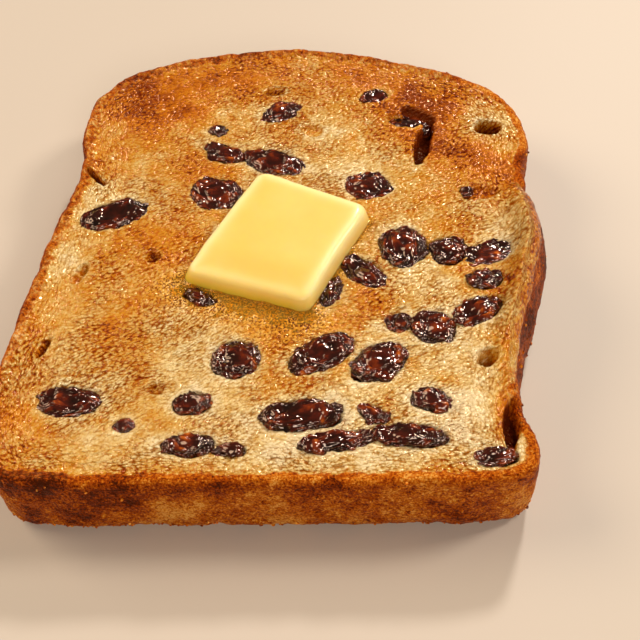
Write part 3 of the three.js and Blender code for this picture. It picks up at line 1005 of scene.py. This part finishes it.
def raisinMaterial():
    material, tree, shader = newMaterial("raisinSkin")
    bent = warped(namedValue(tree, "ownPlace", "FLOAT_VECTOR"), 0.34, 0.4, 2.4)
    ridges = noise(bent, 1 / raisinFinish["ridgeSize"], 1.0, 0.4)
    crease = mapRange(abs(ridges - 0.5), 0, 0.16, 1, 0, smooth=True)
    # painted shade: the skin is darker in its folds and creases
    level = noise(objectPlaceMm(tree), 0.32, 3.0) - namedValue(tree, "fold") * 0.4 - crease * 0.14 + 0.04
    fill(shader, {
        **raisinFinish["shader"], "Base Color": colourRamp(level, raisinFinish["stops"]),
        "Normal": bumped(crease * -raisinFinish["ridgeHeight"], 1.0),
    })
    return material


# the pat of butter

def roundedLine(outline, cut, count):
    # the line through the corners, each rounded from cut before it to cut after it
    line = []
    t = np.linspace(0, 1, 14)[:, None]
    for before, corner, after in zip(np.roll(outline, 1, 0), outline, np.roll(outline, -1, 0)):
        enter = corner + (before - corner) * cut / np.linalg.norm(before - corner)
        leave = corner + (after - corner) * cut / np.linalg.norm(after - corner)
        line.append((1 - t) ** 2 * enter + 2 * t * (1 - t) * corner + t ** 2 * leave)
    return evenly(np.concatenate(line), count, closed=True)


def insetCorners(outline, insets):
    # moves each side of the outline inwards by its own amount and crosses neighbours again
    along = np.roll(outline, -1, 0) - outline
    along /= np.linalg.norm(along, axis=1)[:, None]
    inward = np.column_stack([-along[:, 1], along[:, 0]])
    offsets = (outline * inward).sum(1) + insets
    return np.array([np.linalg.solve(inward[[k - 1, k]], offsets[[k - 1, k]]) for k in range(len(outline))])


def makeButter(material):
    centre, count, seed = butter["centre"], butter["sectors"], butter["seed"]
    ways = butter["line"] - centre
    outline = butter["line"] + ways / np.linalg.norm(ways, axis=1)[:, None] * butter["cornerGrow"]
    run = runLength(butterProfile)
    foot, topHeight = butterProfile[[0, -1], 0]
    rings = []
    for level in np.linspace(0, run[-1], butter["sideRings"]):
        z, inset = (np.interp(level, run, column) for column in butterProfile.T)
        share = np.clip(z / topHeight, 0, 1)
        # the front side, the first, has softened: it slopes where the others stand up
        slope = np.array([butter["slump"] * (share ** 1.2 - 0.25), 0, 0, 0])
        ring = roundedLine(insetCorners(outline, inset + slope), butter["cornerCut"], count)
        rings.append(np.column_stack([ring, np.full(count, z)]))
    last = rings[-1]
    for share in np.linspace(1, 0, butter["topRings"] + 2)[1:-1]:
        crown = last[:, 2] + butter["crown"] * (1 - share ** 2)
        rings.append(np.column_stack([centre + (last[:, :2] - centre) * share, crown]))
    shape = np.concatenate(rings)
    inside = insetFromPat(*shape[:, :2].T)
    # painted highlight: a lighter band along the top's rounded edge, weaker on the front side
    rim = smoothStep(1.2, 3.6, shape[:, 2]) * bell(np.maximum(inside.min(0) - 1, 0), 1.2, 1.5)
    rim *= 1 - 0.6 * smoothStep(2.6, 0.6, inside[0])
    sunk = smoothStep(9, 0, inside[0]) * np.clip(shape[:, 2] / topHeight, 0, 1)
    shape[:, 2] -= butter["droop"] * sunk
    for size, amount in ((7.0, 0.18), (2.2, 0.07)):
        shape[:, :2] += amount * np.column_stack([latticeNoise(shape, size, seed + k) for k in (0, 1)])
    shape[:, 2] += np.where(shape[:, 2] > 2.5, 0.1 * latticeNoise(shape, 9.0, seed + 2), 0)
    shape = np.concatenate([shape, [[*centre, foot], [*centre, topHeight + butter["crown"]]]])
    ids = np.arange(len(rings) * count).reshape(len(rings), count)
    faces = []
    for low, high in zip(ids[:-1], ids[1:]):
        faces += np.column_stack([low, np.roll(low, -1), np.roll(high, -1), high]).tolist()
    faces += [[len(shape) - 2, b, a] for a, b in zip(ids[0], np.roll(ids[0], -1))]
    faces += [[a, b, len(shape) - 1] for a, b in zip(ids[-1], np.roll(ids[-1], -1))]
    shape[:, 2] += butter["foot"] + butter["sunk"]
    piece = meshObject("butterPat", shape * mm, faces, material)
    inside = insetFromPat(*shape[:, :2].T)
    # rim carries the painted highlight band
    writeValues(piece, "rim", np.concatenate([rim, [0, 0]]))
    writeValues(piece, "melted", smoothStep(4.5, 0.2, inside[0]) * smoothStep(-1.5, 4, inside[1]))
    return piece


butterFinish = {
    # rim is the colour of a painted highlight along the top edge
    "cool": "#f2cf78", "mild": "#f1c96c", "rim": "#fbecb4", "warm": "#fac838",
    "warmRise": (0.3, 3.8),  # heights over the crumb between which the warm colour fades: the melted butter's deeper gold, partly a painted glow of light through the butter
    "shader": {"Roughness": 0.26, "Specular IOR Level": 0.35, "Subsurface Weight": 0.85,
               "Subsurface Radius": (1.0, 0.8, 0.35), "Subsurface Scale": 4.0 * mm},
}


def butterMaterial():
    material, tree, shader = newMaterial("butterPale")
    placeMm = objectPlaceMm(tree)
    cloud = mapRange(noise(placeMm, 0.09, 2), 0.35, 0.65)
    pale = mixColour(cloud, butterFinish["cool"], butterFinish["mild"])
    # painted highlight along the top edge
    pale = mixColour(namedValue(tree, "rim") * 0.7, pale, butterFinish["rim"])
    # deeper gold towards the foot: partly melted butter, partly a painted glow of light through it
    first, last = (butter["foot"] + rise for rise in butterFinish["warmRise"])
    low = mapRange(partsOf(placeMm)[2], first, last, 1, 0, smooth=True)
    warmed = low * mapRange(namedValue(tree, "melted"), 0, 1, 0.15, 1)
    fill(shader, {
        **butterFinish["shader"], "Base Color": mixColour(warmed, pale, butterFinish["warm"]),
        "Normal": bumped(noise(placeMm, 0.5, 3.0), 0.1, 0.25),
    })
    return material


# butter that has melted and run out on the crumb

meltedButter = {
    "cells": 150, "margin": 13.0,  # of the sheet, and how far it reaches past the pat
    "depth": 0.9, "thin": -0.5,  # above the crumb beside the pat, and where it has soaked in
    "thickness": 0.6, "seed": 41,
    "tones": ("#ffce54", "#f8b834"),
    "shader": {"Roughness": 0.07, "Specular Tint": "#ffd890", "Transmission Weight": 0.8, "IOR": 1.45},
}


def makeMeltedButter(material):
    # a sheet just over the crumb near the pat that dips below it further out
    line, margin, thin = butter["line"], meltedButter["margin"], meltedButter["thin"]
    low, high = line.min(0) - margin, line.max(0) + margin
    n = meltedButter["cells"]
    xs, ys = np.meshgrid(np.linspace(low[0], high[0], n), np.linspace(low[1], high[1], n))
    x, y = xs.ravel(), ys.ravel()
    away = np.maximum(fromPat(x, y), 0)
    front = smoothStep(-3, 1.5, -insetFromPat(x, y)[0])
    cling = meltedButter["depth"] * (0.5 + 0.5 * front) * bell(away, 0.8 + 1.3 * front, 1.5)
    ripple = 0.42 + 0.22 * flatNoise(x, y, 2.6, meltedButter["seed"])
    above = thin + ripple * soakedBy(x, y) ** 0.7 + cling
    upper = crumbFace(x, y)[0] + above
    keep = (above > thin + 0.03).reshape(n, n)
    cell = np.all(cellCorners(keep), axis=0)
    quads = np.column_stack([corner[cell] for corner in cellCorners(np.arange(n * n).reshape(n, n))])
    edges = {}
    for quad in quads.tolist():
        edges.update(dict.fromkeys(zip(quad, quad[1:] + quad[:1])))
    walls = [[b, a, a + n * n, b + n * n] for a, b in edges if (b, a) not in edges]
    faces = quads.tolist() + (quads[:, ::-1] + n * n).tolist() + walls
    points = np.concatenate([np.column_stack([x, y, z]) for z in (upper, upper - meltedButter["thickness"])])
    used = np.unique(faces)
    renumber = dict(zip(used.tolist(), range(len(used))))
    faces = [[renumber[v] for v in face] for face in faces]
    return meshObject("meltedButter", points[used] * mm, faces, material)


def meltedMaterial():
    material, tree, shader = newMaterial("butterMelted")
    ripple = noise(objectPlaceMm(tree), 1.1, 3.0)
    fill(shader, {
        **meltedButter["shader"], "Normal": bumped(ripple, 0.2, 0.6),
        "Base Color": mixColour(mapRange(ripple, 0.4, 0.6), *meltedButter["tones"]),
    })
    return material


breadSkin = breadMaterial()
toastPiece = makeSlice(breadSkin)
bakeTree(toastPiece, reliefTree(breadSkin), crumbRelief)
place(toastPiece, ["toast_slice"])
place(makeCrumbs(toastPiece, crumbMaterial()), [])

raisinSkin = raisinMaterial()
raisinPiece = raisinLumps(raisinSkin)
bakeTree(raisinPiece, wrinkleTree(raisinSkin), raisinShape)
place(raisinPiece, [r["name"] for r in raisinList])

place(makeButter(butterMaterial()), ["butter_pat"])
place(makeMeltedButter(meltedMaterial()), [])


# floor, lights and camera

studio = {
    "floorColour": "#c6bbb0", "floorRoughness": 0.55, "floorHalf": 3000.0,
    "target": (7.7, -10.0, 0.0), "distance": 1300,
    "lights": [  # name, azimuth, elevation, size, watts, colour
        ("windowRight", 72, 42, 300, 7.6, "#fff1de"),
        ("windowBack", 22, 43, 150, 9.2, "#fff6ea"),
        ("softLeft", -70, 40, 800, 10.2, "#ffe8c8"),
        ("softFront", 165, 40, 600, 8.0, "#fff4e6"),
    ],
    "ambient": 0.12, "ambientColour": "#ffe8cc",
}

camera = {
    "target": (7.71, -10.01, 0.0), "azimuth": 177.7, "elevation": 52.0, "distance": 245.1,
    "roll": -3.0, "lens": 61.9, "sensor": 36.0, "clip": (0.01, 10.0),
}


def addAimed(name, data, target, azimuth, elevation, distance, roll=0.0):
    # looks at the target; the azimuth is measured from +Y towards +X
    a, e = math.radians(azimuth), math.radians(elevation)
    way = Vector((math.sin(a) * math.cos(e), math.cos(a) * math.cos(e), math.sin(e)))
    turn = (-way).to_track_quat("-Z", "Y").to_matrix() @ Matrix.Rotation(math.radians(roll), 3, "Z")
    piece = addObject(name, data)
    piece.location = (Vector(target) + way * distance) * mm
    piece.rotation_euler = turn.to_euler()
    return piece


def makeStudio():
    material, tree, shader = newMaterial("paleFloor")
    fill(shader, {"Base Color": studio["floorColour"], "Roughness": studio["floorRoughness"]})
    square = np.array([(-1, -1, 0), (1, -1, 0), (1, 1, 0), (-1, 1, 0)])
    meshObject("floor", square * studio["floorHalf"] * mm, [(0, 1, 2, 3)], material)
    for name, azimuth, elevation, size, watts, colour in studio["lights"]:
        light = bpy.data.lights.new(name, "AREA")
        light.shape = "DISK"
        light.size = size * mm
        light.energy = watts
        light.color = rgb(colour)[:3]
        addAimed(name, light, studio["target"], azimuth, elevation, studio["distance"])
    world = bpy.data.worlds.new("studioAir")
    world.use_nodes = True
    background = world.node_tree.nodes["Background"]
    fill(background, {"Color": studio["ambientColour"], "Strength": studio["ambient"]})
    bpy.context.scene.world = world


def makeCamera():
    data = bpy.data.cameras.new("camera")
    data.lens = camera["lens"]
    data.sensor_width = camera["sensor"]
    data.clip_start, data.clip_end = camera["clip"]
    spot = [camera[key] for key in ("target", "azimuth", "elevation", "distance", "roll")]
    bpy.context.scene.camera = addAimed("camera", data, *spot)


makeStudio()
makeCamera()
bpy.context.scene.view_settings.view_transform = "Standard"
stage("studio and camera")
